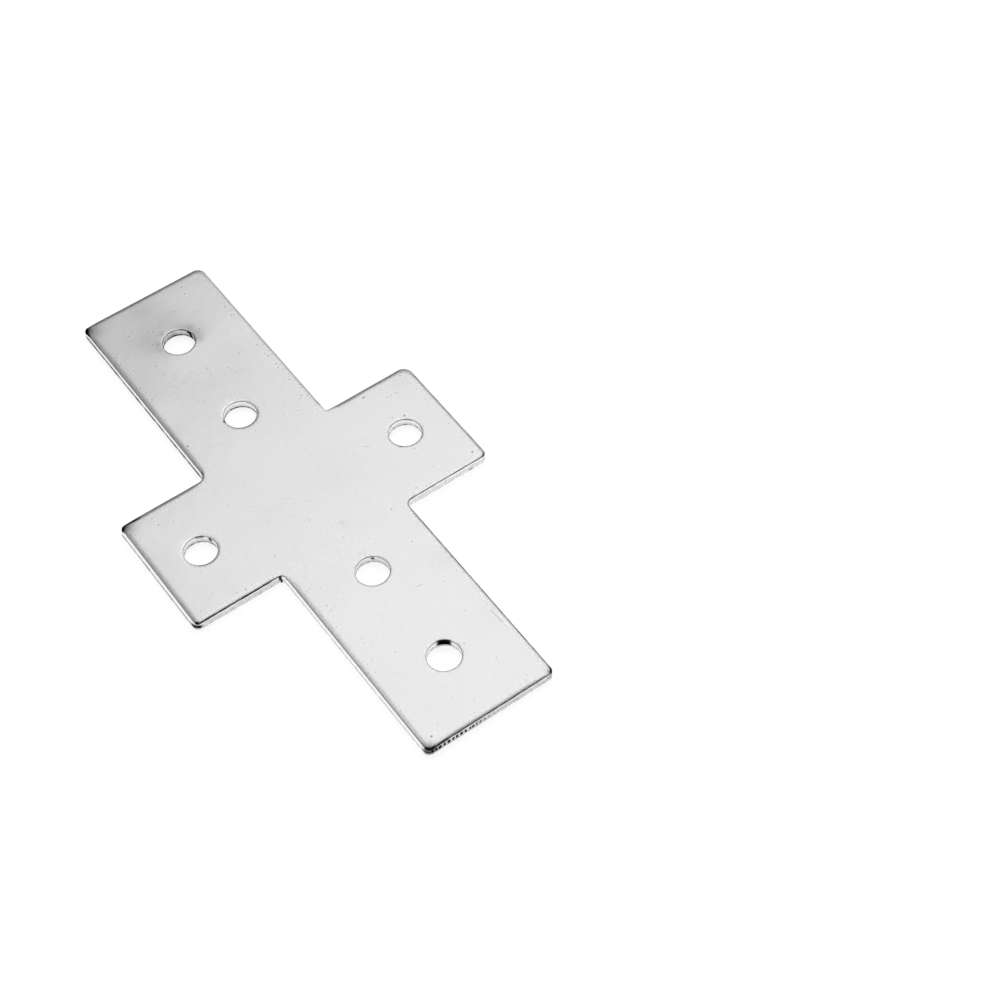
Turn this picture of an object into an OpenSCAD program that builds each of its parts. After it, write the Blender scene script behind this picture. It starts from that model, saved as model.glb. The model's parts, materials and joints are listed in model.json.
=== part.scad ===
// Cross connector plate for slotted framing profiles.
// One flat piece pressed out of sheet: four arms, six bolt holes on the grid of the framing,
// the soft rolled edge of a pressed blank on top and a crisp, deburred edge underneath.
// The long arm lies along X and the short arm along Y. The origin is at the centre of the
// underside, with +Z towards the rolled face.

/* [Plate] */
// Length of the long arm, end to end
long_len = 158; // [140:0.5:220]
// Length of the short arm, end to end
short_len = 85; // [75:0.5:130]
// Width of the long arm
long_arm_w = 36; // [22:0.5:46]
// Width of the short arm
short_arm_w = 36; // [22:0.5:46]
// Thickness of the sheet
sheet_t = 2.5; // [1.5:0.1:6]

/* [Corners] */
// Radius of the eight outer corners
outer_r = 2.4; // [1.8:0.1:8]
// Radius of the four inner corners
inner_r = 1.2; // [0.8:0.1:8]

/* [Bolt holes] */
// Distance from the centre to the first hole of the long arm
long_first = 30; // [20:0.5:36]
// Distance from the first hole to the second hole of the long arm
long_pitch = 30; // [20:0.5:36]
// Distance from the centre to the hole of the short arm
short_first = 30; // [20:0.5:34]
// Diameter of the straight bore, a close clearance for an M8 bolt
bore_d = 8.4; // [5:0.1:13]

/* [Rolled edge of the outline] */
// Radius of the shallow arc across the strip that the press pulls down along the outline
roll_r = 6; // [3:0.5:8]
// Slope of that strip at its outer end, in degrees
roll_slope = 17; // [8:1:20]
// Radius of the tight arc where the strip turns into the wall
lip_r = 0.25; // [0.1:0.05:0.5]

/* [Rolled edge of the bolt holes] */
// Radius of the shallow arc across the strip that the punch pulls down round each hole
mouth_r = 1.2; // [0.8:0.1:3]
// Slope of that strip at its inner end, in degrees
mouth_slope = 25; // [12:1:35]
// Radius of the tight arc where the strip turns into the bore
mouth_lip_r = 0.15; // [0.1:0.05:0.3]

/* [Underside] */
// Height and width of the deburred corner under the plate
deburr = 0.15; // [0.05:0.05:0.4]

/* [Hidden] */
$fn = 96;
// Angle at which the arcs of a rolled section meet the face, the wall and each other
meet = 4;
// Length by which a cutter stands clear of the metal
clear = 0.4;
x_end = long_len / 2;
y_end = short_len / 2;
x_in = short_arm_w / 2;
y_in = long_arm_w / 2;
// Outline of the cross, anticlockwise from above, so that the metal is always on the left
outline = [
    [x_end, -y_in], [x_end, y_in], [x_in, y_in],
    [x_in, y_end], [-x_in, y_end], [-x_in, y_in],
    [-x_end, y_in], [-x_end, -y_in], [-x_in, -y_in],
    [-x_in, -y_end], [x_in, -y_end], [x_in, -y_in]
];
sides = len(outline);
// The bolt holes: two pairs on the long arm and one pair on the short arm
holes = [
    for (side = [-1, 1])
        for (spot = [[long_first, 0], [long_first + long_pitch, 0], [0, short_first]])
            side * spot
];

function corner(i) = outline[i % sides];
function step(i) = corner(i + 1) - corner(i);
function heading(i) = atan2(step(i).y, step(i).x);
function along(i) = step(i) / norm(step(i));
function leftward(i) = [-along(i).y, along(i).x];
// Positive at an outer corner, where the walk turns left, and negative at an inner corner
function turn(i) = cross(along(i + sides - 1), along(i));
function radius(i) = turn(i) > 0 ? outer_r : inner_r;
function arc_centre(i) = corner(i) + radius(i) * (turn(i) * leftward(i + sides - 1) - along(i + sides - 1));

// What the press takes off a sharp edge: x runs into the metal from the wall, y up from the face.
// The metal that stays lies under a shallow arc, which leaves the face and falls to the given
// slope, and then under a tight arc, which turns down into the wall.
module rolled_section(shallow_r, slope, tight_r) {
    depth = shallow_r * (cos(meet) - cos(slope)) + tight_r * (cos(slope + meet) - sin(meet));
    tight_x = tight_r * cos(meet);
    swap_x = tight_x - tight_r * sin(slope + meet);
    shallow_x = swap_x + shallow_r * sin(slope);
    difference() {
        translate([-clear, -depth])
            square([shallow_x + clear, depth + clear]);
        intersection() {
            translate([shallow_x, -shallow_r * cos(meet)])
                circle(shallow_r);
            union() {
                translate([tight_x, -depth - tight_r * sin(meet)])
                    circle(tight_r);
                translate([swap_x + tight_r * sin(meet), -depth - clear])
                    square([shallow_x, depth + 2 * clear]);
            }
        }
    }
}

// What deburring takes off the lower edge, with the same axes from the underside up
module deburr_section() {
    polygon([[-clear, -clear], [deburr + clear, -clear], [-clear, deburr + clear]]);
}

// Carries a section along one straight side of the outline
module along_side(i) {
    run = norm(step(i)) - radius(i) - radius(i + 1);
    start = corner(i) + radius(i) * along(i);
    translate([start.x, start.y, 0])
        rotate([0, 0, heading(i)])
            rotate([90, 0, 90])
                linear_extrude(run)
                    children();
}

// Carries a section round one corner: outside the arc's centre on an inner corner, inside on an outer one
module round_corner(i) {
    centre = arc_centre(i);
    is_outer = turn(i) > 0;
    first = heading(i + sides - 1) + (is_outer ? -90 : 0);
    translate([centre.x, centre.y, 0])
        rotate([0, 0, first])
            rotate_extrude(angle = 90)
                translate([radius(i), 0])
                    mirror([is_outer ? 1 : 0, 0])
                        children();
}

// Carries a section along the whole outline
module round_outline() {
    for (i = [0 : sides - 1]) {
        along_side(i) children();
        round_corner(i) children();
    }
}

// The flat cross with its corners rounded
module cross_outline() {
    difference() {
        union() {
            polygon(outline);
            for (i = [0 : sides - 1])
                if (turn(i) < 0)
                    corner_square(i);
        }
        for (i = [0 : sides - 1])
            if (turn(i) > 0)
                difference() {
                    corner_square(i);
                    corner_disc(i);
                }
            else
                corner_disc(i);
    }
}

// The square between a corner and the centre of its arc
module corner_square(i) {
    middle = (corner(i) + arc_centre(i)) / 2;
    translate(middle)
        square(radius(i), center = true);
}

// The disc that rounds a corner
module corner_disc(i) {
    translate(arc_centre(i))
        circle(radius(i));
}

// One bolt hole with its rolled mouth above and its deburred rim below
module bolt_hole() {
    translate([0, 0, -clear])
        cylinder(d = bore_d, h = sheet_t + 2 * clear);
    translate([0, 0, sheet_t])
        rotate_extrude()
            translate([bore_d / 2, 0])
                rolled_section(mouth_r, mouth_slope, mouth_lip_r);
    rotate_extrude()
        translate([bore_d / 2, 0])
            deburr_section();
}

module cross_plate() {
    color([0.83, 0.83, 0.82])
        difference() {
            linear_extrude(sheet_t)
                cross_outline();
            translate([0, 0, sheet_t])
                round_outline()
                    rolled_section(roll_r, roll_slope, lip_r);
            round_outline()
                deburr_section();
            for (spot = holes)
                translate([spot.x, spot.y, 0])
                    bolt_hole();
        }
}

cross_plate();
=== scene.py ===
import json
import math
from collections import namedtuple

import bpy
import numpy as np
from bpy.props import FloatProperty, FloatVectorProperty, PointerProperty
from mathutils import Matrix, Vector
from mathutils.geometry import delaunay_2d_cdt


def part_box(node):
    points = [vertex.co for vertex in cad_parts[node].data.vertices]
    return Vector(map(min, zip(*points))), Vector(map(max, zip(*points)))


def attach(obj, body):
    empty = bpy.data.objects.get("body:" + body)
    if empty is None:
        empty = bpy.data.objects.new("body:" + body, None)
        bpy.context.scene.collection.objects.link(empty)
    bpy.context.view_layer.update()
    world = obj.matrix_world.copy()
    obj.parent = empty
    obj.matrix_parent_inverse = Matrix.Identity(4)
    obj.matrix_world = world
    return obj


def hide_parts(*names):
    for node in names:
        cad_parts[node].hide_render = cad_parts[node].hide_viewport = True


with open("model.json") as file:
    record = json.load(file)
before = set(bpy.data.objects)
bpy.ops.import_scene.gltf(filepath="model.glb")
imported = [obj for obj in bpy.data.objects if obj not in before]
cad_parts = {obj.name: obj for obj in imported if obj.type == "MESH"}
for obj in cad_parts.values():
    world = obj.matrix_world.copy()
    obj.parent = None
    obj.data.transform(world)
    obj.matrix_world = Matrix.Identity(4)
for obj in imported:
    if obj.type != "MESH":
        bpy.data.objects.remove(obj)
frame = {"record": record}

bl_info = {
    "name": "Cross connector plate",
    "version": (1, 0, 0),
    "blender": (4, 5, 0),
    "location": "View3D > Sidebar > Plate",
    "description": "Builds a pressed and zinc-plated cross connector plate in a plain studio",
    "category": "Add Mesh",
}

NODE = "cross_plate"
LOW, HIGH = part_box(NODE)
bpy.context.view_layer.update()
PATTERNS = [m for m in frame["record"]["mounts"] if m["kind"] == "bolt_pattern"]
MM = 1000.0

# Each straight side, anticlockwise from the +X end, as the tools are worn unevenly: its shares
# of the usual roll width and slope; how far its wall starts in below the lip, how far its
# sheared band and its torn band lean out or, where negative, in, and how deep the torn band
# starts, in millimetres; and how dark the painted reflection on the lip and the painted shade
# on the torn band are
SIDES = np.array([
    (1.25, 1.53, 0.1, 0, 0.05, 0.65, 0.38, 0.2),
    (0.8, 1, -0.05, 0, -0.05, 1.15, 0.92, 0.3),
    (0.7, 1.05, 0.16, 0, 0.16, 0.75, 0.4, 0.02),
    (0.8, 1.05, 0, 0, -0.05, 1.15, 0.62, 0.3),
    (1.15, 0.9, 0.1, 0, -0.05, 1.15, 0.08, 0.3),
    (0.8, 0.9, 0, 0, -0.05, 1.15, 0.22, 0.3),
    (1, 1, 0, 0, -0.05, 1.15, 0.4, 0.3),
    (1.25, 1.15, 0.35, 0.07, 0.12, 1.45, 0.15, 0.6),
    (1, 1, 0, 0, -0.05, 1.15, 0.95, 0.3),
    (1.2, 0.95, 0.35, 0.17, 0.15, 1.72, 0, 0.42),
    (1.1, 1.6, 0.12, 0, 0.17, 0.7, 0.88, 0.14),
    (1.2, 0.85, 0.24, 0.08, 0.14, 1.62, 0, 0.1),
])

# Each corner, from the front corner of the +X end: its share of the usual radius, of the usual
# slope of the roll, and of the usual width of the lip and darkness of its painted reflection
CORNERS = np.array([
    (0.75, 1, 1), (0.6, 1, 0.5), (1.25, 1, 1), (0.7, 1, 1),
    (1.15, 0.6, 0.35), (0.6, 1, 1), (1, 0.6, 0.35), (0.58, 1, 1),
    (1.5, 1, 1), (0.55, 1, 1), (0.75, 1, 1), (1, 1, 1),
])

# Each hole, in the order of the record's patterns: its share of the usual roll width, and how
# dark the painted shade is on its lip, its wall and the foot of its wall
HOLES = (
    (0.65, 0.8, 0.43, 0.8),
    (0.9, 0.26, 0.03, 0.3),
    (1.1, 0.3, 0.11, 0.9),
    (0.9, 0.38, 0.18, 0.4),
    (1.1, 0.26, 0.14, 0.58),
    (0.95, 0.38, 0.1, 0.45),
)

# Painted shade on the face and the roll or, where the strength is negative, painted highlights:
# place and reach in millimetres, and strength
PAINTED_LIGHT_SPOTS = (
    (-75.4, -2.5, 3.5, 0.1), (-64.5, -6.5, 3.5, 0.09), (-73.3, 6, 3, -0.05),
    (-42.6, -14.5, 4.5, -0.08), (-54, 15.5, 6, -0.08), (-40, 15.5, 6, -0.05),
    (-12, -38.4, 4, -0.05), (0, -30, 11, -0.03), (0, 7, 10, 0.035),
    (-14.6, 38.5, 3.5, 0.06), (37, 16.5, 4, 0.04), (56.9, 16.9, 5, 0.03),
    (17.3, 7.9, 4, 0.02), (36, -6, 7, -0.025), (14.1, 2.1, 1.5, 0.05),
    (-62.5, 4.6, 1.2, 0.32), (-60.3, 4.9, 1.2, 0.26), (-65.1, -2.3, 0.7, 0.2),
    (-58, 4.6, 1.5, 0.28), (-60, 6.3, 2.4, 0.12), (-64, 2.9, 1.3, 0.22),
    (-69.7, 7.8, 3.5, -0.05), (-72, 13, 5, -0.035), (-62.4, -4.7, 0.9, 0.22),
    (-60.3, -4.9, 1.2, 0.17), (-58, -4.7, 1.2, 0.12), (-61.4, -6.2, 1.8, 0.06),
    (-78, -17.1, 1.15, 0.95), (-17.2, -41.7, 1, 0.95), (78.2, -16.7, 1.1, 0.62),
    (78.4, 17.3, 0.85, 0.72), (-35.3, -0.4, 1.1, -0.07), (-34.4, -3, 1, -0.06),
    (-4.9, -32.3, 1.1, -0.07), (-2.8, -34.8, 1, -0.05), (-77, -17.2, 1.6, 0.13),
    (-17.5, -40.4, 1, 0.35),
)

# Knocked corners, where the face falls away: place, reach and fall, in millimetres
KNOCKS = (
    (-79, -18, 3, 0.24), (-18, -42.5, 2.7, 0.24), (79, -18, 2.6, 0.18), (18, -42.5, 2, 0.1),
)

# Painted dark reflections and shade on lips and walls, most at the corners: place, reach along
# the wall and the drops between which each spot lies, in millimetres, and its strength
PAINTED_DARK_SPOTS = np.array([
    (-78.3, -17.3, 1.35, 0, 0.9, 1), (-77.3, -18, 1.5, 0.04, 0.5, 1),
    (-79, -15, 2.8, 0.05, 0.5, 0.75), (-73.5, -18, 4.6, 0.1, 0.5, 0.4),
    (-73.5, -18, 5, 1.9, 2.5, 0.72), (-17.3, -41.8, 1.2, 0, 0.8, 1),
    (-18, -39.6, 2.8, 0, 0.5, 0.95), (78.6, -16.9, 1.55, 0.05, 0.6, 0.93),
    (79, -14.8, 3, 0.12, 0.5, 0.85), (78.45, -17, 1.5, 0.5, 1.2, 0.7),
    (78.3, -17.3, 1.75, 1.15, 1.75, 0.88), (78.4, -17.2, 1.5, 1.75, 2.4, 0.5),
    (17.7, -41.9, 0.6, 0.06, 0.5, 1), (18, -40.2, 2, 0.1, 0.5, 0.6),
    (17.25, -42.1, 1.6, 1, 1.9, 0.95), (17.6, -41.8, 0.8, 0.5, 1, 0.55),
    (78.05, 17.9, 1.1, 0.02, 0.5, 1), (78.7, 17, 1.3, 0.5, 1.6, 0.42),
    (17.7, 41.9, 0.9, 0.05, 0.45, 0.75), (18.15, -18.75, 0.34, 0.03, 1.5, 0.9),
    (18.05, -18.45, 0.34, 1.3, 2.5, 0.9), (18, -20.9, 2.4, 0.1, 0.32, 0.5),
    (18.35, 18.35, 2.6, 0, 0.45, 0.5), (-18.35, -18.35, 2, 0, 0.45, 0.62),
    (-21.2, 18, 0.6, 0.02, 0.4, 0.5), (18, 37.4, 0.5, 1.6, 2.45, 0.5),
    (38.3, 18, 0.3, 0.02, 0.6, 0.6), (24.5, 18, 0.4, 0.02, 0.5, 0.5),
    (-61.36, 4.03, 0.85, 0.04, 1, 1), (-62.9, 3, 1.4, 0.02, 0.35, 0.8),
    (-60.9, 4.12, 0.65, 0.8, 1.7, 1), (-60.6, 4.18, 0.55, 1.4, 2.25, 0.95),
    (56.52, 2.35, 1.72, 0, 1.78, 1), (26.49, 2.31, 0.5, 0.3, 1.25, 0.8),
    (-3.72, -28.05, 1, 0.2, 0.9, 0.45), (-1.78, -26.2, 0.5, 0.1, 1.3, 0.76),
    (-3.72, -28.05, 1.1, 0.02, 0.35, 0.75), (3.8, -28.2, 2.6, 0.06, 0.35, 0.58),
    (64.1, 0.9, 2.2, 0.04, 0.3, 0.42), (2.6, 33.3, 2.2, 0.04, 0.3, 0.62),
    (-30.4, -4.19, 0.45, 0, 0.6, 1), (-27.3, 3.2, 2.2, 0.06, 0.35, 0.25),
    (-3.08, 32.9, 1.2, 0.02, 0.4, 0.55), (2.7, 26.8, 0.5, 0, 0.4, 0.85),
])

# Pits in the face, darkened as painted shade, and bright specks, whose strength is negative,
# as painted highlights: radius in millimetres, strength, and x and y of each place in turn
PITS = (
    (0.48, 0.75, (
        -4.6, 32.9, 76.1, -14.8, -29.3, -16, 15.1, 39.9,
    )),
    (0.46, 0.34, (
        -47, 15.7, -16, 39.4, 60.1, 5.7, -63.3, 15.9, -76.1, 10.4, -65.5, -15.8, 16.2, -27.3,
        -25.8, 15.7, 17.6, 13.9, 5.5, 29, -12.9, -34.3, -73.5, 9.8, -38.7, 16.1, 31.7, -14.3,
        -12.1, 32.7, 15.8, 22.5, -37.2, 15.9, -5.9, 30.1, -12, 35.5, 28.6, 12.5, -47.8, -15.5,
    )),
    (0.40, 0.25, (
        -59.7, 15.8, 54.1, -15.5, 64.9, -16.2, -22.2, 12.4, 25.4, -15.9, -10, 40.3, 77, 9.6,
        -58.9, -14.3, -60.7, 6.6, 76.8, 11.2, -62.9, -15.8, -23.3, 0.3, -13.5, -40.4, -15.5, -34.6,
        15.1, -39.2, 15.6, -29.5, -32.1, 16.1, -19.8, 15.1, 52.4, -8.6, -5.7, 40.1, -63.4, -5.9,
        -42.1, 16, 26.7, -12.8, 38.3, -15.8, -12, 33.9, 67.8, 9.4, -69.6, -9.5, -70.3, -8.2,
        -50.7, -15.5, -67.2, -3.6, 5.2, -33.2, 12.3, -34.5, -25.1, 15, 51.3, -15.7, -6.3, 29.5,
        4.1, 40.3, 42, 16.2,
    )),
    (0.46, 0.15, (
        -43.3, 15.6, 24, 0.5, 18.3, 14.3, 73.9, -1.3, -11.6, -40.3, -68.2, -4.9, -76, 15.2,
        -45.4, 5.7, -3.5, -12.6, 12.2, -16.5, 25.1, -14.9, 46, -13, 50.6, -13.9, 47.3, -8.5,
        41.5, 12.7, 76.8, -3.3, -55.3, 11.7, -47.4, 10.4, -39.8, 9, -45.9, 0.9, -48.2, 1.1,
        -42.4, 6.5, -23.4, 8.6, -31.9, 14, -26.6, 11.1, -11.9, -18.5, -7.7, -17.4, -11.6, -30.7,
        17.5, -0.1, 25.2, -12.8, 30, -10.2, 33.2, -12.8, 44.4, -12.8, 51.1, -14.5, 42.8, 12.1,
        52.7, 11.3, 21.5, 4.7, 70.6, -5.1, 74.2, -11.8,
    )),
    (0.36, -0.16, (
        15.6, -37.6, -24.6, 15.4, -23.5, 0.7, -60.8, 15.6, -12.4, 33.3, 38.7, -15.3, -22.7, 12.8,
        -58.5, -14.8, -15, 28.3, -59.6, -14, 29.2, 12.1, -15.5, -30.1, -64.3, -15.3, 14.3, 39,
        -46.1, 15.3,
    )),
    (0.36, -0.10, (
        50.2, -14.4, -29, -15.1, -70.9, -9.1, 76.2, -4, -6.5, 33.1, -53.7, -0.9, -56.6, -5.2,
        39.7, 15.1, 41.4, 12.2, 39.8, 6, -15.1, 36.2, 51.6, -15.2, -4.7, -37.6, 14.5, 18.3,
        48.7, -10.3, 15, -26.6, -51.3, -5.5, -48.6, -10, -65.7, -3,
    )),
)

# Grooves in the face, darkened as painted shade, and bright streaks, whose strength is
# negative, as painted highlights: both ends and the radius, in millimetres, and strength
GROOVES = (
    (56.3, 16.1, 60.6, 16.4, 0.40, 0.20),
    (57.0, 17.1, 61.9, 16.9, 0.34, -0.14),
    (40.0, 5.6, 40.4, 7.3, 0.30, 0.20),
    (-2.8, 19.0, -1.8, 20.4, 0.30, 0.20),
    (-15.8, 27.6, -15.6, 28.2, 0.42, 0.50),
)

# Faint scuffs in the face: both ends, in millimetres, and the radius and strength of them all
SCUFFS = (
    (-49.7, -9.1, -50.2, -7.0), (-48.6, -9.2, -46.7, -7.7), (-47.7, -6.6, -47.8, -5.2),
    (-50.0, -2.6, -47.8, -1.8), (-48.4, 0.9, -46.4, 1.3), (-45.1, 5.7, -43.4, 6.1),
    (-42.9, 8.1, -41.0, 8.4), (-41.7, -6.9, -39.4, -6.2), (-39.6, -5.2, -37.8, -4.8),
    (-44.3, -9.4, -44.3, -11.1), (-47.1, 10.0, -47.7, 11.1), (-43.5, 15.7, -41.7, 16.1),
    (-1.6, -6.1, 0.3, -3.6), (2.6, -2.2, 4.1, 0.5), (13.2, 2.5, 15.7, 1.4),
    (-2.9, 16.2, -1.3, 16.0), (11.4, -16.5, 12.6, -16.6),
)
SCUFF_RADIUS, SCUFF_STRENGTH = 0.40, 0.055


def metres(name, description, default):
    """A property that holds a length, in metres."""
    return FloatProperty(
        name=name, description=description, default=default, unit="LENGTH", precision=5)


def degrees(name, description, default):
    """A property that holds an angle: its default is given in degrees and kept in radians."""
    return FloatProperty(
        name=name, description=description, default=math.radians(default), subtype="ANGLE")


def tint(name, description, default):
    """A property that holds a colour, in linear values."""
    return FloatVectorProperty(
        name=name, description=description, default=default, subtype="COLOR",
        size=3, min=0, max=1)


class PlateSizes(bpy.types.PropertyGroup):
    """Sizes of the pressed plate"""

    long_len: metres("Long arm", "Length of the long arm, end to end", HIGH.x - LOW.x)
    short_len: metres("Short arm", "Length of the short arm, end to end", HIGH.y - LOW.y)
    sheet_t: metres("Thickness", "Thickness of the sheet", HIGH.z - LOW.z)
    long_arm_w: metres("Long arm width", "Width of the long arm", 0.036)
    short_arm_w: metres("Short arm width", "Width of the short arm", 0.036)
    outer_r: metres("Outer corners", "Radius of the eight outer corners", 0.0024)
    inner_r: metres("Inner corners", "Radius of the four inner corners", 0.0012)
    bore_r: metres("Bore", "Radius of the bolt holes", PATTERNS[0]["dims"]["hole_r_mm"] / MM)
    roll_w: metres("Roll width", "Width of the shallow arc along the upper edge", 0.0013)
    roll_slope: degrees("Roll slope", "Slope of that arc where it turns down", 11.5)
    lip_r: metres("Lip", "Radius of the tight arc that turns into the wall", 0.00024)
    corner_w: metres("Roll width at corners", "Width of the arc round each outer corner", 0.0016)
    corner_slope: degrees("Roll slope at corners", "Slope of the arc round each outer corner", 16)
    corner_lip: metres(
        "Lip at corners", "Radius of the tight arc round each outer corner", 0.00028)
    mouth_w: metres("Roll width at holes", "Usual width of the arc round a hole", 0.0008)
    mouth_slope: degrees("Roll slope at holes", "Slope of that arc where it turns down", 9)
    mouth_lip: metres("Lip at holes", "Radius of the tight arc that turns into the bore", 0.00012)
    tear_depth: metres(
        "Depth of the tear", "Depth of the coarse tears in the wall of the +X end", 0.00016)
    deburr: metres("Deburred corner", "Width and height of the corner under the plate", 0.00015)
    dent_share: FloatProperty(
        name="Depth of dents", description="Depth of a dent of full strength, as a share of its radius",
        default=0.08, min=0, max=0.3, subtype="FACTOR")
    sag: metres(
        "Sag of the end", "How far the face falls away round the hole at the -X end", 0.00013)


class PlateFinish(bpy.types.PropertyGroup):
    """Colours and gloss of the zinc plating"""

    zinc: tint("Zinc", "Colour of the plated face", (0.83, 0.83, 0.83))
    burnished: tint(
        "Sheared band", "Colour of the smooth upper part of the walls", (0.97, 0.97, 0.97))
    torn: tint("Torn band", "Colour of the torn lower part of the walls", (0.83, 0.83, 0.83))
    # Painted dark reflections on lips and corners, and painted shade in the tears
    painted_dark: tint(
        "Painted dark", "Colour of the painted dark reflections and shade on lips, corners and tears",
        (0.012, 0.012, 0.012))
    roughness: FloatProperty(
        name="Roughness", description="Roughness of the plated face",
        default=0.21, min=0, max=1, subtype="FACTOR")


class StudioSetup(bpy.types.PropertyGroup):
    """The camera's place, the floor and the light"""

    distance: metres("Distance", "From the camera to the point it looks at", 0.5686)
    elevation: degrees("Elevation", "Angle of the camera above the floor", 53.64)
    azimuth: degrees("Azimuth", "Direction of the camera, anticlockwise from +X", -33.35)
    roll: degrees("Roll", "Turn of the camera about its own line of sight", -2.97)
    lens: FloatProperty(
        name="Lens", description="Focal length on a 36 mm sensor, in millimetres", default=83.75)
    target_x: metres("Target X", "Where the camera looks, along the long arm", 0.03132)
    target_y: metres("Target Y", "Where the camera looks, along the short arm", 0.03671)
    floor_colour: tint("Floor", "Colour of the floor and the backdrop", (1.0, 1.0, 1.0))


# Surfaces worked out with numpy

# Rows of points down a pressed edge: the roll, the lip, the sheared band, the torn band and
# the corner at its foot, and where the lip and the sheared band end
ROLL_ROWS, LIP_ROWS, BAND_ROWS, TEAR_ROWS, FOOT_ROWS = 10, 9, 8, 9, 4
LIP_END = ROLL_ROWS + LIP_ROWS
BAND_END = LIP_END + BAND_ROWS
ROWS = BAND_END + TEAR_ROWS + FOOT_ROWS

# Points on the arc of a corner and round a hole, and points worked on at a time
ARC_POINTS, HOLE_POINTS, BLOCK = 15, 96, 400

# Distance in metres between points along the outline and in the nets of the face and of the
# underside, and from those nets to the edges
EDGE_STEP, FACE_PITCH, UNDER_PITCH, MARGIN = 0.0006, 0.0009, 0.003, 0.0006

# Waves round a path: their height, the numbers of cycles that are added up, and the seed of
# their phases. A hole's waves have the hole's own seed added.
WAVES = {
    "roll": (0.03, (7, 11, 17, 29, 53), 3),
    "shear": (0.1, (23, 41, 67, 111), 5),
    "lip": (0.35, (37, 61, 97, 151), 19),
    "torn": (0.22, (47, 83, 131, 223), 23),
    "tear spacing": (0.9, (31, 53, 79), 11),
    "tear length": (1.1, (151, 211, 307), 17),
    "fine tears": (0.5, (397, 443, 521, 587), 13),
    "hole shear": (0.12, (2, 3, 5, 9), 0),
    "hole tears": (0.2, (19, 27, 34, 43), 1),
    "hole lip": (0.5, (2, 3, 7), 2),
    "hole foot": (0.3, (5, 9, 17), 3),
    "hole wall": (0.12, (3, 5, 8, 13), 4),
}

# Shape of a dent in shares of its radius: the width of its bell, then the height, the place
# and the width of the ring of metal pushed up round it
DENT_BELL, RING_HEIGHT, RING_PLACE, RING_WIDTH = 0.6, 0.18, 1.15, 0.28

# A pressed edge: the points of its path, unit normals into the metal and the length walked,
# and for each row of its section the inset, the drop, how dark its painted shade is and how far
# it lies below the start of the torn band
Edge = namedtuple("Edge", "points normals run inset drop soot below")


def ripple(share, name, own_seed=0):
    """Smooth closed waves: a mean of sines with whole numbers of cycles round the path and
    seeded phases."""
    height, cycles, seed = WAVES[name]
    phase = np.random.default_rng(seed + own_seed).uniform(0, 2 * np.pi, len(cycles))
    waves = np.sin(2 * np.pi * share[:, None] * np.array(cycles) + phase)
    return height * (waves.mean(axis=1) * math.sqrt(len(cycles)))


def outline_corners(size):
    """The twelve sharp corners of the cross, anticlockwise from the +X end's front corner."""
    a, b = size.long_len / 2, size.short_len / 2
    u, v = size.short_arm_w / 2, size.long_arm_w / 2
    return np.array([
        (a, -v), (a, v), (u, v), (u, b), (-u, b), (-u, v),
        (-a, v), (-a, -v), (-u, -v), (-u, -b), (u, -b), (u, -v)])


def outline_path(size):
    """Points along the outline, unit normals into the metal, how near each is to a corner,
    the nearest corner's shares, and its part of the outline: the number of its side, or a
    value in between on a corner's arc.

    Each corner is a quarter circle of its own radius about a centre set in from the corner
    (out from it on an inner corner), and even steps fill each straight side in between. The
    nearness falls off as a bell curve, and is negative at inner corners."""
    corners = outline_corners(size)
    ahead = np.roll(corners, -1, axis=0) - corners
    ahead /= np.linalg.norm(ahead, axis=1, keepdims=True)
    behind = np.roll(ahead, 1, axis=0)
    turn = np.round(behind[:, 0] * ahead[:, 1] - behind[:, 1] * ahead[:, 0])
    radius = np.where(turn > 0, size.outer_r, size.inner_r) * CORNERS[:, 0]
    left = np.stack([-behind[:, 1], behind[:, 0]], axis=1)
    centres = corners + radius[:, None] * (turn[:, None] * left - behind)
    # The normal turns from the left of the way in to the left of the way out
    swing = np.linspace(0, np.pi / 2, ARC_POINTS)
    start = np.arctan2(left[:, 1], left[:, 0])
    angle = start[:, None] + turn[:, None] * swing
    inward = np.stack([np.cos(angle), np.sin(angle)], axis=2)
    arcs = centres[:, None] - (turn * radius)[:, None, None] * inward
    points, normals, part = [], [], []
    for i in range(len(corners)):
        begin = arcs[i, -1]
        end = arcs[(i + 1) % len(corners), 0]
        # The coarse tears of the first side, the +X end, need finer steps
        count = math.ceil(np.linalg.norm(end - begin) / (EDGE_STEP if i else EDGE_STEP / 3))
        share = np.linspace(0, 1, count + 1)[1:-1, None]
        part += [i - 1 + swing / swing[-1], np.full(count - 1, float(i))]
        points += [arcs[i], begin + share * (end - begin)]
        normals += [inward[i], np.repeat(inward[i, -1:], count - 1, axis=0)]
    points = np.concatenate(points)
    away = np.linalg.norm(points[:, None] - corners[None], axis=2)
    # Metres within which a corner has its full say, and over which that then fades
    full = 0.001
    fade = np.where(turn > 0, 0.0024, 0.0016)
    near = (turn * np.exp(-(np.maximum(away - full, 0) / fade) ** 2)).sum(axis=1)
    shares = CORNERS[away.argmin(axis=1)].T
    return points, np.concatenate(normals), near, shares, np.concatenate(part)


def hole_path(centre, radius):
    """Points round a hole and unit normals into the metal: a circle walked clockwise."""
    angle = -np.arange(HOLE_POINTS) * 2 * np.pi / HOLE_POINTS
    outward = np.stack([np.cos(angle), np.sin(angle)], axis=1)
    return np.array(centre) + radius * outward, outward


def along(points):
    """Length walked along a closed path to each of its points, and the same as a share of the
    whole length."""
    steps = np.linalg.norm(np.roll(points, -1, axis=0) - points, axis=1)
    run = np.cumsum(steps) - steps
    return run, run / steps.sum()


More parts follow.
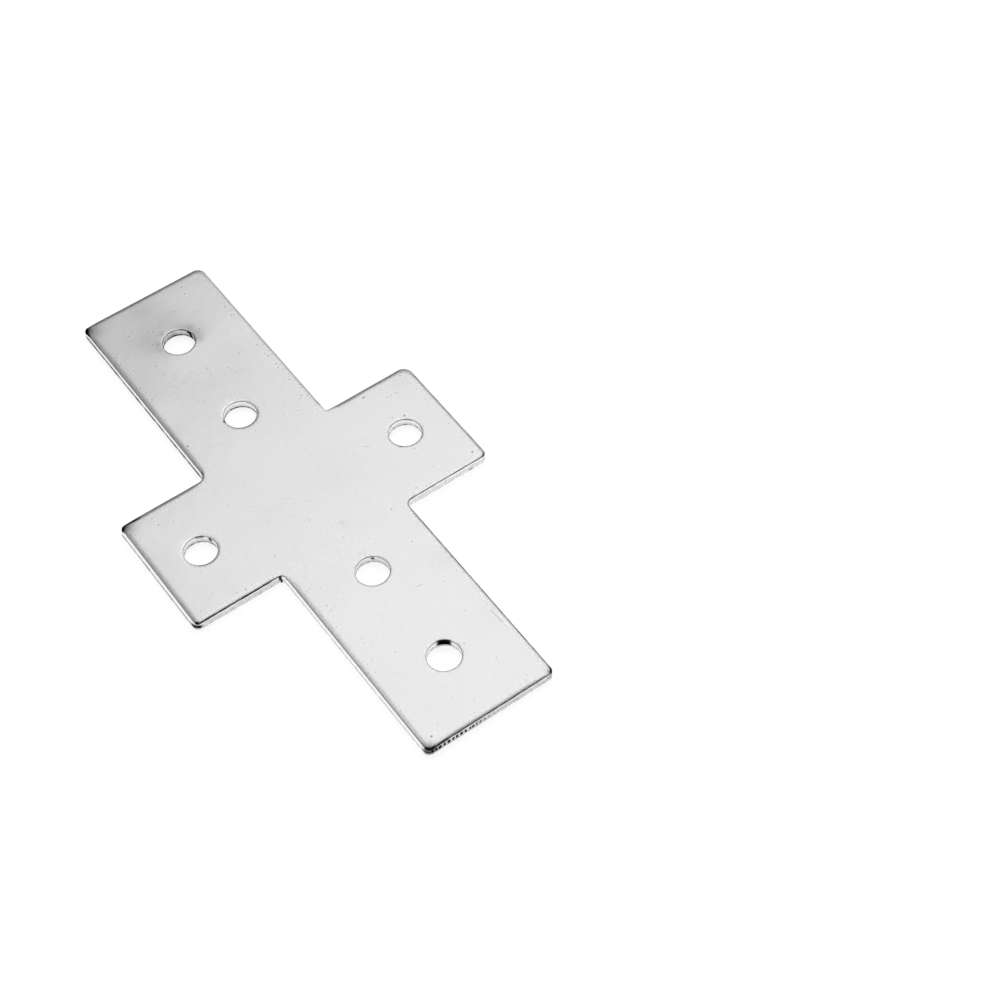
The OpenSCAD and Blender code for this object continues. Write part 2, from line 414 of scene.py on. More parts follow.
def pressed_section(size, width, slope, lip, stand, flare, lean, shear):
    """Rows of a pressed edge from the face to the underside, as inset from the outline and drop.

    The arguments after the sizes hold a value for each point of the path, or one for them all.
    A shallow arc leaves the face and falls to the slope over the width, and a tight arc turns
    down into the wall, which starts in by the stand. The sheared band leans out evenly by the
    flare and the torn band by the lean, and a small quarter round ends on the underside. The
    third result is the share of the torn band that lies above each row."""
    swap = lip * (1 - np.sin(slope))
    shallow = (width - swap) / np.sin(slope)
    first = np.linspace(0, 1, ROLL_ROWS)[:, None] * slope
    second = slope + np.linspace(0, 1, LIP_ROWS + 1)[1:, None] * (np.pi / 2 - slope)
    turned = shallow * (1 - np.cos(slope))
    walled = turned + lip * np.cos(slope)
    # The power draws the rows of the sheared band together under the lip
    band = np.linspace(0, 1, BAND_ROWS + 1)[1:, None] ** 1.3
    tear = np.linspace(0, 1, TEAR_ROWS + 1)[1:, None]
    corner = np.linspace(0, np.pi / 2, FOOT_ROWS + 1)[1:, None]
    end = size.sheet_t - size.deburr
    flat = np.zeros_like(slope)
    inset = np.concatenate([
        swap + shallow * (np.sin(slope) - np.sin(first)),
        lip * (1 - np.sin(second)),
        flat - flare * band,
        -flare - lean * tear,
        -flare - lean + size.deburr * (1 - np.cos(corner))])
    drop = np.concatenate([
        shallow * (1 - np.cos(first)),
        turned + lip * (np.cos(slope) - np.cos(second)),
        walled + band * (shear - walled),
        shear + tear * (end - shear),
        flat + end + size.deburr * np.sin(corner)])
    torn = np.concatenate([np.zeros(BAND_END), tear[:, 0], np.ones(FOOT_ROWS)])
    return stand + inset, drop, torn


def swept_edge(size, edge):
    """Carries a section along a closed path: each point moves in by the inset and down by the
    drop. Returns the points, row by row, their numbers in rows, and closed quads."""
    flat = edge.points[None] + edge.inset[:, :, None] * edge.normals[None]
    grid = np.concatenate([flat, (size.sheet_t - edge.drop)[:, :, None]], axis=2)
    index = np.arange(edge.inset.size).reshape(edge.inset.shape)
    beside = np.roll(index, -1, axis=1)
    quads = np.stack([index[:-1], index[1:], beside[1:], beside[:-1]], axis=2)
    return grid.reshape(-1, 3), index, quads.reshape(-1, 4)


def dark_spot_strength(path, drop):
    """Strength of the painted dark spots at each point of a pressed edge: flat-topped bell
    curves of the distance along the path from each spot, between its two drops."""
    x, y, reach, top, bottom = PAINTED_DARK_SPOTS.T[:5, :, None] / MM
    away = np.hypot(path[:, 0] - x, path[:, 1] - y) / reach
    beside = PAINTED_DARK_SPOTS[:, 5:] / (1 + away ** 10)
    soft = 0.00004
    below_top = np.clip((drop[:, None] - top) / soft, 0, 1)
    above_bottom = np.clip((bottom + soft - drop[:, None]) / soft, 0, 1)
    return (below_top * above_bottom * beside).max(axis=1)


def row_weights(rows, weights):
    """Weight of each row of a section: straight lines between the weights of a few rows."""
    return np.interp(np.arange(ROWS), rows, weights)[:, None]


# Weights of the painted shade of the lip, which comes in over the last of the shallow arc, and
# of the torn band, and those of the wall and of its foot in a hole
LIP = row_weights((ROLL_ROWS - 3, ROLL_ROWS, LIP_END - 1, LIP_END), (0, 1, 1, 0))
TORN = row_weights((BAND_END - 2, BAND_END), (0, 1))
WALL = row_weights((LIP_END - 1, LIP_END + 1, BAND_END + 3, BAND_END + 5), (0, 1, 1, 0))
FOOT = row_weights((BAND_END + 1, BAND_END + 5), (0, 1))


def end_tears(points, part, run, share):
    """The coarse tears of the +X end, one about every millimetre: a weight that dies out past
    the middle of that end, how much higher the torn band starts near its front corner, in
    millimetres, and each tear as a dash, which almost joins the next there."""
    across = points[:, 1] * MM
    at_end = np.clip(1 - abs(part), 0, 1) * (points[:, 0] > 0)
    coarse = at_end * np.interp(across, (-8, 1, 18), (1, 0.25, 0.1))
    raised = 0.16 * at_end * np.interp(across, (-15, -9), (1, 0))
    spacing = 0.00114
    beat = np.sin(2 * np.pi * run / spacing + ripple(share, "tear spacing"))
    merged = np.interp(across, (-15, -11, -4), (1.2, 0.9, 0.5))
    dash = np.clip(beat * 2.2 + merged + ripple(share, "tear length"), 0, 1)
    return coarse, raised, dash


def outline_edge(size):
    """The pressed edge along the outline. Each side has its own roll, which dies away in the
    inner corners and is rounder at the outer ones, and the +X end has coarse tears."""
    points, normals, near, (tight, steeper, lipped), part = outline_path(size)
    run, share = along(points)
    outer = np.maximum(near, 0)
    inner = np.maximum(-near, 0)
    sides = np.concatenate([SIDES[-1:], SIDES])
    wide, steep, stand, flare, lean, shear, lip_dark, torn_dark = [
        np.interp(part, np.arange(-1, len(SIDES)), column) for column in sides.T]
    sway = 1 + ripple(share, "roll")

    def at_corner(side, corner):
        return (side * sway + outer * (corner - side * sway)) * (1 - 0.45 * inner)

    width = at_corner(wide * size.roll_w, size.corner_w * tight)
    slope = at_corner(steep * size.roll_slope, size.corner_slope * steeper)
    lip = size.lip_r + outer * (size.corner_lip * lipped - size.lip_r)
    coarse, raised, dash = end_tears(points, part, run, share)
    shear = (shear - raised + ripple(share, "shear")) / MM
    inset, drop, torn = pressed_section(
        size, width, slope, lip, stand / MM, flare / MM, lean / MM, shear)
    # How deep the tears bite at each share of the torn band
    bulge = np.interp(torn, (0, 0.12, 0.3, 0.56, 0.75, 1), (0, 0.25, 1, 1, 0.2, 0))[:, None]
    fine = 0.5 + ripple(share, "fine tears")
    inset = inset + size.tear_depth * (bulge * (coarse * dash + 0.12 * fine * (1 - coarse)))
    # The painted shade: dark reflections on the lip, shade on the torn band and in the coarse tears,
    # and the dark spots
    lip_dark = lip_dark * (1 + ripple(share, "lip")) * (1 - 0.5 * inner)
    lip_dark = lip_dark * (1 - outer * (1 - lipped))
    torn_dark = torn_dark * (1 + ripple(share, "torn"))
    soot = LIP * lip_dark + TORN * torn_dark
    soot = np.maximum(soot, np.minimum(1.2 * bulge ** 0.5 * coarse * dash ** 0.7, 1))
    soot = np.maximum(soot, dark_spot_strength(points, drop))
    return Edge(points, normals, run, inset, drop, soot, drop - shear)


def hole_edge(size, spot, tones):
    """The pressed edge round one hole, with a roll that is the same all round and a wall that
    is torn only near its foot."""
    points, normals = hole_path(spot, size.bore_r)
    run, share = along(points)
    same = np.ones(len(points))
    wide, lip_dark, wall_dark, foot_dark = tones
    # Each hole's waves get a seed of their own from its place in whole millimetres
    seed = int(round(abs(spot[0]) * MM + 7 * spot[1] * MM)) % 97
    shear = (1.75 + ripple(share, "hole shear", seed)) / MM
    lean = -0.03 / MM
    inset, drop, torn = pressed_section(
        size, same * wide * size.mouth_w, same * size.mouth_slope, same * size.mouth_lip, 0, 0,
        same * lean, shear)
    ragged = np.maximum(0.2 + ripple(share, "hole tears", seed), 0)
    inset = inset + size.tear_depth * ragged * np.sin(np.pi * torn)[:, None]
    # The painted shade: dark reflections and shade on the lip, on the wall and at its foot, and the
    # dark spots
    soot = 0
    for weights, dark, name in (
            (LIP, lip_dark, "hole lip"), (WALL, wall_dark, "hole wall"),
            (FOOT, foot_dark, "hole foot")):
        soot = soot + weights * dark * (1 + ripple(share, name, seed))
    soot = np.maximum(soot, dark_spot_strength(points, drop))
    # The look of the wall changes well above the tears
    return Edge(points, normals, run, inset, drop, soot, drop - 1.15 / MM)


def in_blocks(work, points):
    """Does the same work on all points, a block of them at a time to spare memory."""
    blocks = np.array_split(points, max(1, len(points) // BLOCK))
    return np.concatenate([work(block) for block in blocks])


def nearest(points, others):
    """Distance from each point to the nearest of the others."""
    def work(block):
        return np.sqrt(((block[:, None] - others[None]) ** 2).sum(axis=2).min(axis=1))
    return in_blocks(work, points)


def within(points, loop):
    """Whether each point lies inside a closed loop: a ray along +X crosses the loop an odd
    number of times."""
    x1, y1 = loop.T
    x2, y2 = np.roll(loop, -1, axis=0).T
    slant = (x2 - x1) / np.where(y2 == y1, 1, y2 - y1)

    def work(block):
        x, y = block[:, :1], block[:, 1:]
        crossed = ((y1 > y) != (y2 > y)) & (x1 + (y - y1) * slant > x)
        return crossed.sum(axis=1) % 2 == 1
    return in_blocks(work, points)


def off_holes(spots, rims):
    """A test for points of the plate: outside each hole's own rim. The sides of a rim cut a
    little way inside its circle."""
    def test(points):
        away = np.linalg.norm(points[:, None] - spots[None], axis=2)
        return (away > rims * 0.9993).all(axis=1)
    return test


def dents():
    """Every pit, groove and scuff as rows of both ends of its middle line, its radius and its
    strength. Both ends of a pit are the same."""
    found = np.array(
        [(x, y, x, y, radius, strength) for radius, strength, places in PITS
         for x, y in zip(places[::2], places[1::2])]
        + list(GROOVES)
        + [(*ends, SCUFF_RADIUS, SCUFF_STRENGTH) for ends in SCUFFS])
    found[:, :5] /= MM
    return found


def bells(points):
    """How deep each point lies in each dent: its strength times a bell curve of the distance
    from the dent's middle line, less a low ring of metal pushed up round it."""
    rows = dents()
    first, last, radius, strength = rows[:, :2], rows[:, 2:4], rows[:, 4], rows[:, 5]
    line = last - first
    from_first = points[:, None] - first
    length = np.maximum((line ** 2).sum(axis=1), 1e-12)
    share = np.clip((from_first * line).sum(axis=2) / length, 0, 1)
    away = np.linalg.norm(from_first - share[:, :, None] * line, axis=2) / radius
    bell = np.exp(-(away / DENT_BELL) ** 2)
    ring = RING_HEIGHT * np.exp(-((away - RING_PLACE) / RING_WIDTH) ** 2)
    return strength * (bell - ring)


def dent_nets():
    """A fine net of points over each dent: seven rows across it, as far apart as 0.45 of its
    radius, and as many columns as its length needs."""
    nets = []
    for x1, y1, x2, y2, radius, _ in dents():
        length = math.hypot(x2 - x1, y2 - y1)
        pitch = 0.45 * radius
        across = np.arange(-3, 4) * pitch
        ahead = np.linspace(-3 * pitch, length + 3 * pitch, 7 + math.ceil(length / pitch))
        u, v = (a.ravel() for a in np.meshgrid(ahead, across))
        c, s = ((x2 - x1) / length, (y2 - y1) / length) if length else (1, 0)
        nets.append(np.stack([x1 + u * c - v * s, y1 + u * s + v * c], axis=1))
    return np.concatenate(nets)


def sheet_between(loops, clear, pitch, details):
    """Triangles that fill the inside of the first loop of points, clear of the others.

    A square net of points fills the region, away from the loops by the margin, and makes way
    for the finer nets of the details. A constrained Delaunay triangulation joins them all.
    Returns the nets and the triangles, whose indices count the loops' points first."""
    rim = np.concatenate(loops)
    low, high = rim.min(axis=0), rim.max(axis=0)
    across = [np.arange(a + pitch / 2, b, pitch) for a, b in zip(low, high)]
    net = np.stack(np.meshgrid(*across), axis=2).reshape(-1, 2)
    net = net[within(net, loops[0]) & clear(net)]
    net = net[nearest(net, rim) > MARGIN]
    if len(details):
        details = details[within(details, loops[0]) & clear(details)]
        details = details[nearest(details, rim) > MARGIN / 4]
        net = np.concatenate([net[nearest(net, details) > MARGIN / 2], details])
    first = np.cumsum([0] + [len(loop) for loop in loops[:-1]])
    sides = np.concatenate([
        np.stack([start + np.arange(len(loop)), start + np.roll(np.arange(len(loop)), -1)], axis=1)
        for start, loop in zip(first, loops)])
    flat = np.concatenate([rim, net]) * MM
    only_inside, tolerance = 1, 1e-5
    done = delaunay_2d_cdt(
        [Vector(p) for p in flat.tolist()], sides.tolist(), [], only_inside, tolerance)
    source = np.array([ids[0] for ids in done[3]])
    triangles = source[np.array(done[2])]
    middle = np.concatenate([rim, net])[triangles].mean(axis=1)
    return net, triangles[clear(middle)]


def outward_faces(flat, ids, triangles, upwards):
    """Triangles as rows of vertex numbers, anticlockwise as seen from above or below."""
    corners = flat[triangles]
    one, two = corners[:, 1] - corners[:, 0], corners[:, 2] - corners[:, 0]
    anticlockwise = one[:, 0] * two[:, 1] > one[:, 1] * two[:, 0]
    found = ids[triangles]
    return np.where(anticlockwise[:, None] == upwards, found, found[:, ::-1])


def hole_spots():
    """Centres of the holes: each line pattern of the record has one hole either side of its
    middle."""
    spots = []
    for mount in PATTERNS:
        dims = mount["dims"]
        spacing = np.array([dims.get("spacing_x_mm", 0), dims.get("spacing_y_mm", 0)])
        half = spacing / 2 / MM
        middle = np.array(mount["pos_m"][:2])
        spots += [middle - half, middle + half]
    return np.array(spots)


def sagged(size, x, y):
    """How far the face falls: it stays up round the hole at the -X end and falls away from it
    as a bell curve, by a share that grows smoothly towards that end. Each knocked corner adds
    its own bell curve."""
    spots = hole_spots()
    hole = spots[spots[:, 0].argmin()]
    # Metres round the hole that stay up, and where along the arm the sag starts and how soon
    # it is full
    kept_up, start, length = 0.0085, 0.022, 0.04
    away = ((x - hole[0]) ** 2 + (y - hole[1]) ** 2) / kept_up ** 2
    share = np.clip((-x - start) / length, 0, 1)
    knocked = 0
    for knock_x, knock_y, reach, fall in KNOCKS:
        distance = (x * MM - knock_x) ** 2 + (y * MM - knock_y) ** 2
        knocked = knocked + fall / MM * np.exp(-distance / reach ** 2)
    return size.sag * (1 - np.exp(-away)) * share * share * (3 - 2 * share) + knocked


def plate_skin(size):
    """Vertices and faces of the closed skin, and the measures of its edges at each vertex: the
    distance in from the outline or the hole, the length walked along it, how dark its painted
    shade is, and how far it lies below the start of the torn band. Lengths are in millimetres."""
    spots = hole_spots()
    edges = [outline_edge(size)] + [
        hole_edge(size, spot, tones) for spot, tones in zip(spots, HOLES, strict=True)]
    points, faces, measures, tops, unders = [], [], [], [], []
    total = 0
    for edge in edges:
        grid, index, quads = swept_edge(size, edge)
        points.append(grid)
        faces.append(quads + total)
        run = np.tile(edge.run, len(edge.inset))
        measures.append(np.stack([
            edge.inset.ravel() * MM, run * MM, edge.soot.ravel(), edge.below.ravel() * MM]))
        tops.append(index[0] + total)
        unders.append(index[-1] + total)
        total += index.size
    skin = np.concatenate(points)[:, :2]
    for rims, row, level, pitch, details in (
            (tops, 0, size.sheet_t, FACE_PITCH, dent_nets()),
            (unders, -1, 0.0, UNDER_PITCH, ())):
        mouths = size.bore_r + np.array([edge.inset[row, 0] for edge in edges[1:]])
        net, triangles = sheet_between(
            [skin[rim] for rim in rims], off_holes(spots, mouths), pitch, details)
        points.append(np.column_stack([net, np.full(len(net), level)]))
        rim = np.concatenate(rims)
        ids = np.append(rim, total + np.arange(len(net)))
        faces.append(outward_faces(np.concatenate([skin[rim], net]), ids, triangles, level > 0))
        none = np.zeros(len(net))
        measures.append(np.stack([nearest(net, edges[0].points) * MM, none, none, none - 1]))
        total += len(net)
    return np.concatenate(points), faces, np.concatenate(measures, axis=1)


def plate_mesh(size):
    """The closed skin of the plate: a swept edge along the outline and round each hole, joined
    by one sheet of triangles on the face and one on the underside. The face then sags and is
    dented, and every vertex keeps the measures that the finish reads."""
    vertices, faces, (gap, run, soot, below) = plate_skin(size)
    drop = size.sheet_t - vertices[:, 2]
    fall = sagged(size, vertices[:, 0], vertices[:, 1])
    vertices[:, 2] -= fall * vertices[:, 2] / size.sheet_t
    in_face = drop < 1e-6
    # The dents' bell curves also darken the colour as painted shade, and the bright specks and the ring
    # round each dent lighten it as painted highlights
    dent = bells(vertices[:, :2]) * in_face[:, None]
    vertices[:, 2] -= (dent * dents()[:, 4]).sum(axis=1) * size.dent_share
    vertices[:, 2] = np.minimum(vertices[:, 2], size.sheet_t)
    # Painted shade and painted highlights on the face and the roll
    spots = np.array(PAINTED_LIGHT_SPOTS)
    away = np.linalg.norm(vertices[:, None, :2] * MM - spots[:, :2], axis=2) / spots[:, 2]
    on_roll = drop < 0.3 / MM
    painted_light = (spots[:, 3] * np.exp(-away ** 2)).sum(axis=1) * on_roll
    mesh = bpy.data.meshes.new(NODE + "_pressed")
    mesh.from_pydata(vertices.tolist(), [], [face for part in faces for face in part.tolist()])
    for name, values in (
            ("gap", gap), ("run", run), ("soot", soot), ("below", below),
            ("drop", drop * MM), ("dent", dent.sum(axis=1)), ("painted_light", painted_light)):
        layer = mesh.attributes.new(name, "FLOAT", "POINT")
        layer.data.foreach_set("value", values.astype(np.float32))
    mesh.shade_smooth()
    mesh.update()
    return mesh


# Materials

class Number:
    """Wraps a socket, so that an expression on values adds its Math nodes"""

    def __init__(self, graph, socket):
        self.graph = graph
        self.socket = socket

    def math(self, operation, *others):
        """Any operation of the Math node, with this value first."""
        return self.graph.calculate(operation, self, *others)

    def __add__(self, other):
        return self.math("ADD", other)

    def __sub__(self, other):
        return self.math("SUBTRACT", other)

    def __rsub__(self, other):
        return self.graph.calculate("SUBTRACT", other, self)

    def __mul__(self, other):
        return self.math("MULTIPLY", other)

    __radd__ = __add__
    __rmul__ = __mul__

    def step(self, low, high):
        """Rises smoothly from 0 at low to 1 at high; falls where low is above high."""
        first, last = (0, 1) if low < high else (1, 0)
        return self.graph.add("ShaderNodeMapRange", {"interpolation_type": "SMOOTHSTEP"}, {
            "Value": self, "From Min": min(low, high), "From Max": max(low, high),
            "To Min": first, "To Max": last})["Result"]


class Graph:
    """A node tree that is written as expressions"""

    def __init__(self, tree):
        self.tree = tree
        tree.nodes.clear()

    def add(self, kind, settings=None, sockets=None):
        """Adds a node: its settings first, then the values or links of its sockets. Returns its
        outputs by name."""
        node = self.tree.nodes.new(kind)
        for name, value in (settings or {}).items():
            setattr(node, name, value)
        for name, value in (sockets or {}).items():
            if isinstance(value, Number):
                self.tree.links.new(value.socket, node.inputs[name])
            else:
                node.inputs[name].default_value = value
        return {out.name: Number(self, out) for out in node.outputs if out.enabled}

    def calculate(self, operation, *values):
        """Adds a Math node."""
        return self.add(
            "ShaderNodeMath", {"operation": operation}, dict(enumerate(values)))["Value"]

    def measure(self, name):
        """A measure of the mesh, which holds lengths in millimetres."""
        return self.add("ShaderNodeAttribute", {"attribute_name": name})["Fac"]

    def blend(self, factor, first, second):
        """Mixes two colours."""
        return self.add(
            "ShaderNodeMix", {"data_type": "RGBA"}, {0: factor, 6: first, 7: second})["Result"]

    def noise(self, vector, scale, detail, roughness):
        """Cloudy noise from 0 to 1."""
        return self.add("ShaderNodeTexNoise", {}, {
            "Vector": vector, "Scale": scale, "Detail": detail, "Roughness": roughness})["Fac"]


def new_material(name):
    """A material and the graph that writes its nodes."""
    material = bpy.data.materials.new(name)
    material.use_nodes = True
    return material, Graph(material.node_tree)


def pin_holes(g, here, gap):
    """Strength of the pin holes in the plating: a few of the cells of two nets hold one, more
    of them near the edges, and the plating is thin on some of them."""
    pits = None
    for scale, size, share in ((300.0, 0.12, 0.05), (620.0, 0.2, 0.07)):
        cells = g.add("ShaderNodeTexVoronoi", {}, {"Vector": here, "Scale": scale})
        chosen = g.add("ShaderNodeSeparateColor", {}, {"Color": cells["Color"]})["Red"]
        keep = (chosen - gap.step(6.0, 1.0) * 0.08).step(share, share - 0.04)
        dot = cells["Distance"].step(size, size * 0.2) * keep
        pits = dot if pits is None else pits.math("MAXIMUM", dot)
    return pits * g.noise(here, 150.0, 1.0, 0.5).step(0.35, 0.65)


def hairlines(g, here):
    """Strength of the hairlines: thin streaks of noise in two directions, each broken up by a
    coarser noise."""
    hairs = None
    for turn, scale in ((0.45, 60.0), (-0.9, 45.0)):
        turned = g.add("ShaderNodeMapping", {}, {"Vector": here, "Rotation": (0, 0, turn)})
        drawn_out = g.add("ShaderNodeVectorMath", {"operation": "MULTIPLY"}, {
            0: turned["Vector"], 1: (22.0, 1300.0, 22.0)})["Vector"]
        streak = g.noise(drawn_out, 1.0, 1.0, 0.4)
        broken = g.noise(here, scale, 1.0, 0.5).step(0.58, 0.7)
        line = streak.step(0.68, 0.76) * broken
        hairs = line if hairs is None else hairs.math("MAXIMUM", line)
    return hairs


def plated_steel(finish):
    """Bright zinc on sheet steel: a smooth, faintly clouded face with a few pin holes and
    hairlines, speckled along its edges, walls with a smooth sheared band above a torn one,
    painted dark reflections and shade on the lips, corners and tears, and painted shade and
    painted highlights on the face."""
    material, g = new_material("plated_steel")
    here = g.add("ShaderNodeTexCoord")["Object"]
    gap, drop, run, soot, dent, painted_light, below = (
        g.measure(name) for name in ("gap", "drop", "run", "soot", "dent", "painted_light", "below"))
    # Clouds of thicker and thinner plating, and a finer mottle
    clouds = g.noise(here, 45.0, 3.0, 0.55) - 0.5
    mottle = g.noise(here, 520.0, 2.0, 0.5) - 0.5
    # A grain that is strong along the edges, weaker in patches of the face and faint elsewhere
    patches = g.noise(here, 75.0, 2.0, 0.5).step(0.5, 0.68) * 0.22
    speckled = patches.math("MAXIMUM", gap.step(2.4, 0.8))
    grain = (g.noise(here, 2100.0, 1.0, 0.5) - 0.5) * (speckled * 0.85 + 0.05)
    pits = pin_holes(g, here, gap)
    hairs = hairlines(g, here)
    # The walls: a smooth sheared band, and a torn one that starts at a wavering depth
    along_wall = g.add("ShaderNodeCombineXYZ", {}, {"X": run, "Y": drop * 0.3, "Z": 0.0})["Vector"]
    waver = g.noise(along_wall, 0.7, 2.0, 0.5) - 0.5
    wall = drop.step(0.3, 0.45) * gap.step(0.9, 0.5)
    torn = (below + waver * 0.3).step(-0.05, 0.1) * wall
    fibres = g.noise(along_wall, 2.4, 3.0, 0.65) - 0.5
    plated = g.blend(wall, (*finish.zinc, 1), (*finish.burnished, 1))
    plated = g.blend(torn, plated, (*finish.torn, 1))
    # Painted dark reflections and shade on the lips, corners and tears, which are also made matt
    colour = g.blend(soot, plated, (*finish.painted_dark, 1))
    # What each layer adds to the tone, to the roughness and, in millimetres, to the height
    # In the tone, the dents and the spots of the face are painted shade and painted highlights
    tone = (
        1 + clouds * 0.03 + mottle * 0.04 + grain * 0.7
        - pits * 0.12 - dent - painted_light - hairs * 0.03 - torn * fibres * 0.95)
    rough = finish.roughness + clouds * 0.06 + pits * 0.12 + hairs * 0.08 + torn * 0.22
    height = (
        grain * 0.02 + mottle * 0.006 + clouds * 0.05
        - pits * 0.012 - hairs * 0.002 + torn * fibres * 0.06)
    lit = g.add("ShaderNodeVectorMath", {"operation": "SCALE"}, {0: colour, "Scale": tone})["Vector"]
    normal = g.add(
        "ShaderNodeBump", {}, {"Strength": 1.0, "Distance": 1 / MM, "Height": height})["Normal"]
    shader = g.add(
        "ShaderNodeBsdfPrincipled", {},
        {"Base Color": lit, "Metallic": 1 - soot.step(0.3, 1.0), "Roughness": rough,
         "Specular IOR Level": 0.0, "Normal": normal})["BSDF"]
    g.add("ShaderNodeOutputMaterial", {}, {"Surface": shader})
    return material


def show_to_mirrors(g):
    """1 for rays from the camera and for rays that a glossy surface or glass sends on."""
    rays = g.add("ShaderNodeLightPath")
    seen = rays["Is Camera Ray"].math("MAXIMUM", rays["Is Glossy Ray"])
    return seen.math("MAXIMUM", rays["Is Transmission Ray"])


def floor_paint(setup):
    """Matt white that keeps a soft shadow. What the studio's light leaves short of white is
    added for the camera and for mirrors alone."""
    material, g = new_material("floor_paint")
    paint_share, added_light = 0.8, 0.8
    paint = (*(paint_share * value for value in setup.floor_colour), 1)
    matt = g.add("ShaderNodeBsdfDiffuse", {}, {"Color": paint})["BSDF"]
    fill = g.add("ShaderNodeEmission", {}, {
        "Color": (*setup.floor_colour, 1), "Strength": show_to_mirrors(g) * added_light})
    total = g.add("ShaderNodeAddShader", {}, {0: matt, 1: fill["Emission"]})["Shader"]
    g.add("ShaderNodeOutputMaterial", {}, {"Surface": total})
    return material


# Each soft light: azimuth to the right of the camera's line of sight and elevation, where it
# starts to fall off and where it ends, in degrees from its middle, and its strength
SOFT_LIGHTS = (
    (-35, 64, 14, 41, 0.215),
    (29, 49, 25, 30, 0.333),
    (3, 63.5, 15, 21, 0.415),
)

# Strength of the dim room all round and of the paler band low round the horizon, and the
# heights, as the sine of the elevation, between which that band fades out
ROOM_LIGHT, LOW_LIGHT, LOW_LIGHT_FROM, LOW_LIGHT_TO = 0.115, 0.25, 0.12, 0.3


def direction(azimuth, elevation):
    """The unit vector towards an azimuth and an elevation."""
    flat = math.cos(elevation)
    return Vector((math.cos(azimuth) * flat, math.sin(azimuth) * flat, math.sin(elevation)))


def studio_light(world, setup):
    """A dim room with overlapping soft lights overhead and a paler band low round the horizon.
    The camera itself sees plain white behind the object."""
    world.use_nodes = True
    g = Graph(world.node_tree)
    sky = g.add("ShaderNodeTexCoord")["Generated"]
    light = ROOM_LIGHT
    for right, elevation, full, end, strength in SOFT_LIGHTS:
        aim = direction(setup.azimuth + math.pi - math.radians(right), math.radians(elevation))
        nearness = g.add(
            "ShaderNodeVectorMath", {"operation": "DOT_PRODUCT"}, {0: sky, 1: aim})["Value"]
        lit = nearness.step(math.cos(math.radians(end)), math.cos(math.radians(full)))
        light = light + strength * lit
    height = g.add("ShaderNodeSeparateXYZ", {}, {"Vector": sky})["Z"]
    light = light + LOW_LIGHT * height.step(LOW_LIGHT_TO, LOW_LIGHT_FROM)
    glow = g.add("ShaderNodeBackground", {}, {"Color": (1, 1, 1, 1), "Strength": light})["Background"]
    plain = g.add(
        "ShaderNodeBackground", {}, {"Color": (*setup.floor_colour, 1), "Strength": 1.0})["Background"]
    seen = g.add("ShaderNodeLightPath")["Is Camera Ray"]
    both = g.add("ShaderNodeMixShader", {}, {0: seen, 1: glow, 2: plain})["Shader"]
    g.add("ShaderNodeOutputWorld", {}, {"Surface": both})


def aim_camera(setup):
    """The camera stands off its target along azimuth and elevation, and is rolled about its
    line of sight."""
    back = direction(setup.azimuth, setup.elevation)
    level = Vector((-math.sin(setup.azimuth), math.cos(setup.azimuth), 0))
    up = back.cross(level)
    right = level * math.cos(setup.roll) + up * math.sin(setup.roll)
    above = up * math.cos(setup.roll) - level * math.sin(setup.roll)
    data = bpy.data.cameras.new("photo_camera")
    data.lens = setup.lens
    data.sensor_width = 36.0
    data.clip_start = 0.01
    camera = bpy.data.objects.new("photo_camera", data)
    bpy.context.scene.collection.objects.link(camera)
    target = Vector((setup.target_x, setup.target_y, HIGH.z))
    camera.matrix_world = Matrix.Translation(target + back * setup.distance) @ Matrix(
        (right, above, back)).transposed().to_4x4()
    bpy.context.scene.camera = camera


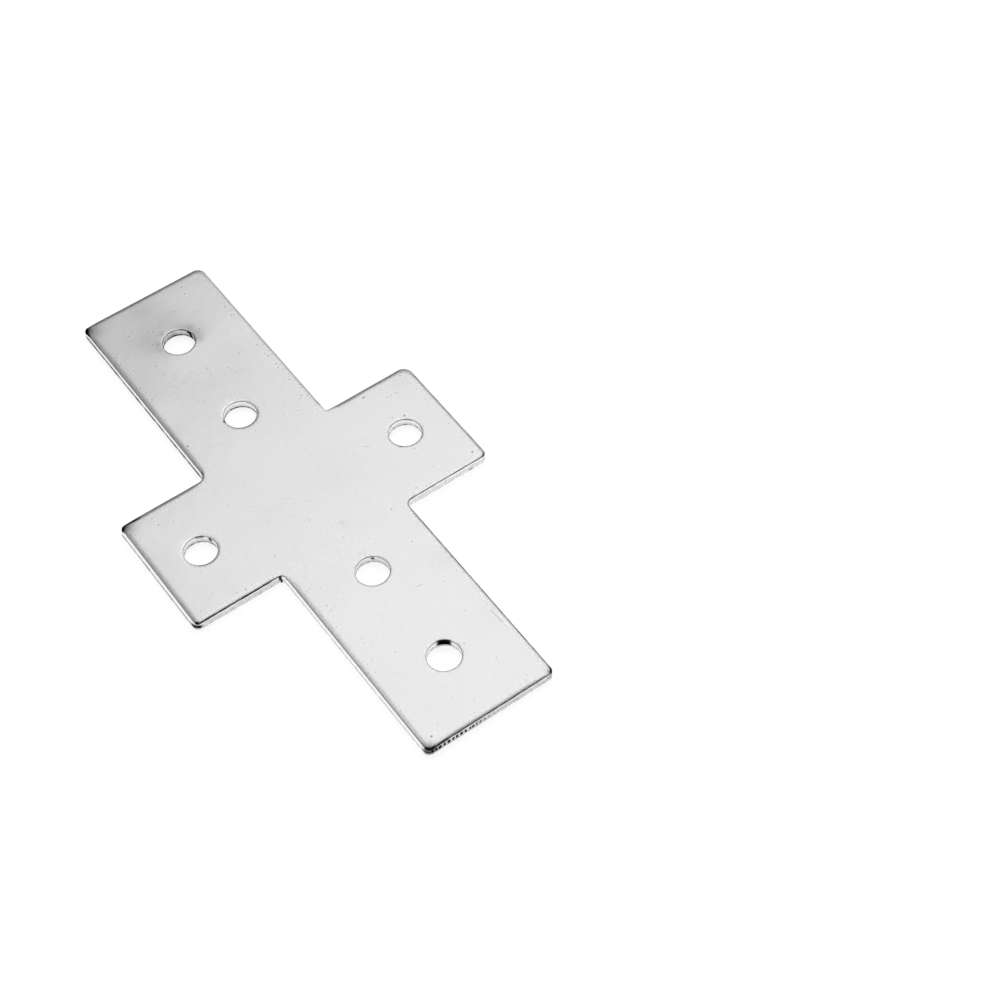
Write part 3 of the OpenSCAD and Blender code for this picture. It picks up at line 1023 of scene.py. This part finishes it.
class PLATE_OT_cross_plate(bpy.types.Operator):
    """Build the pressed cross plate in place of the frame's plain one"""

    bl_idname = "plate.cross_plate"
    bl_label = "Cross Plate"

    def execute(self, context):
        scene = context.scene
        plate = bpy.data.objects.new(NODE + "_pressed", plate_mesh(scene.plate_sizes))
        scene.collection.objects.link(plate)
        plate.data.materials.append(plated_steel(scene.plate_finish))
        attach(plate, "root")
        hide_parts(NODE)
        return {"FINISHED"}


class PLATE_OT_studio(bpy.types.Operator):
    """Build the floor, the light and the camera"""

    bl_idname = "plate.studio"
    bl_label = "Studio"

    def execute(self, context):
        scene = context.scene
        setup = scene.plate_studio
        reach = 3.0
        corners = [(-reach, -reach, 0), (reach, -reach, 0), (reach, reach, 0), (-reach, reach, 0)]
        mesh = bpy.data.meshes.new("floor")
        mesh.from_pydata(corners, [], [(0, 1, 2, 3)])
        floor = bpy.data.objects.new("floor", mesh)
        scene.collection.objects.link(floor)
        floor.data.materials.append(floor_paint(setup))
        world = bpy.data.worlds.new("studio")
        scene.world = world
        studio_light(world, setup)
        aim_camera(setup)
        scene.view_settings.view_transform = "Standard"
        return {"FINISHED"}


class PLATE_PT_sidebar(bpy.types.Panel):
    """Sizes, finish and studio of the cross plate"""

    bl_idname = "PLATE_PT_sidebar"
    bl_label = "Cross Plate"
    bl_space_type = "VIEW_3D"
    bl_region_type = "UI"
    bl_category = "Plate"

    def draw(self, context):
        scene = context.scene
        for group in (scene.plate_sizes, scene.plate_finish, scene.plate_studio):
            for name in group.__annotations__:
                self.layout.prop(group, name)
        self.layout.operator(PLATE_OT_cross_plate.bl_idname)
        self.layout.operator(PLATE_OT_studio.bl_idname)


CLASSES = (
    PlateSizes, PlateFinish, StudioSetup, PLATE_OT_cross_plate, PLATE_OT_studio, PLATE_PT_sidebar)


def register():
    for cls in CLASSES:
        bpy.utils.register_class(cls)
    bpy.types.Scene.plate_sizes = PointerProperty(type=PlateSizes)
    bpy.types.Scene.plate_finish = PointerProperty(type=PlateFinish)
    bpy.types.Scene.plate_studio = PointerProperty(type=StudioSetup)


def unregister():
    del bpy.types.Scene.plate_studio
    del bpy.types.Scene.plate_finish
    del bpy.types.Scene.plate_sizes
    for cls in reversed(CLASSES):
        bpy.utils.unregister_class(cls)


def main():
    register()
    bpy.ops.plate.cross_plate()
    bpy.ops.plate.studio()


if __name__ == "__main__":
    main()
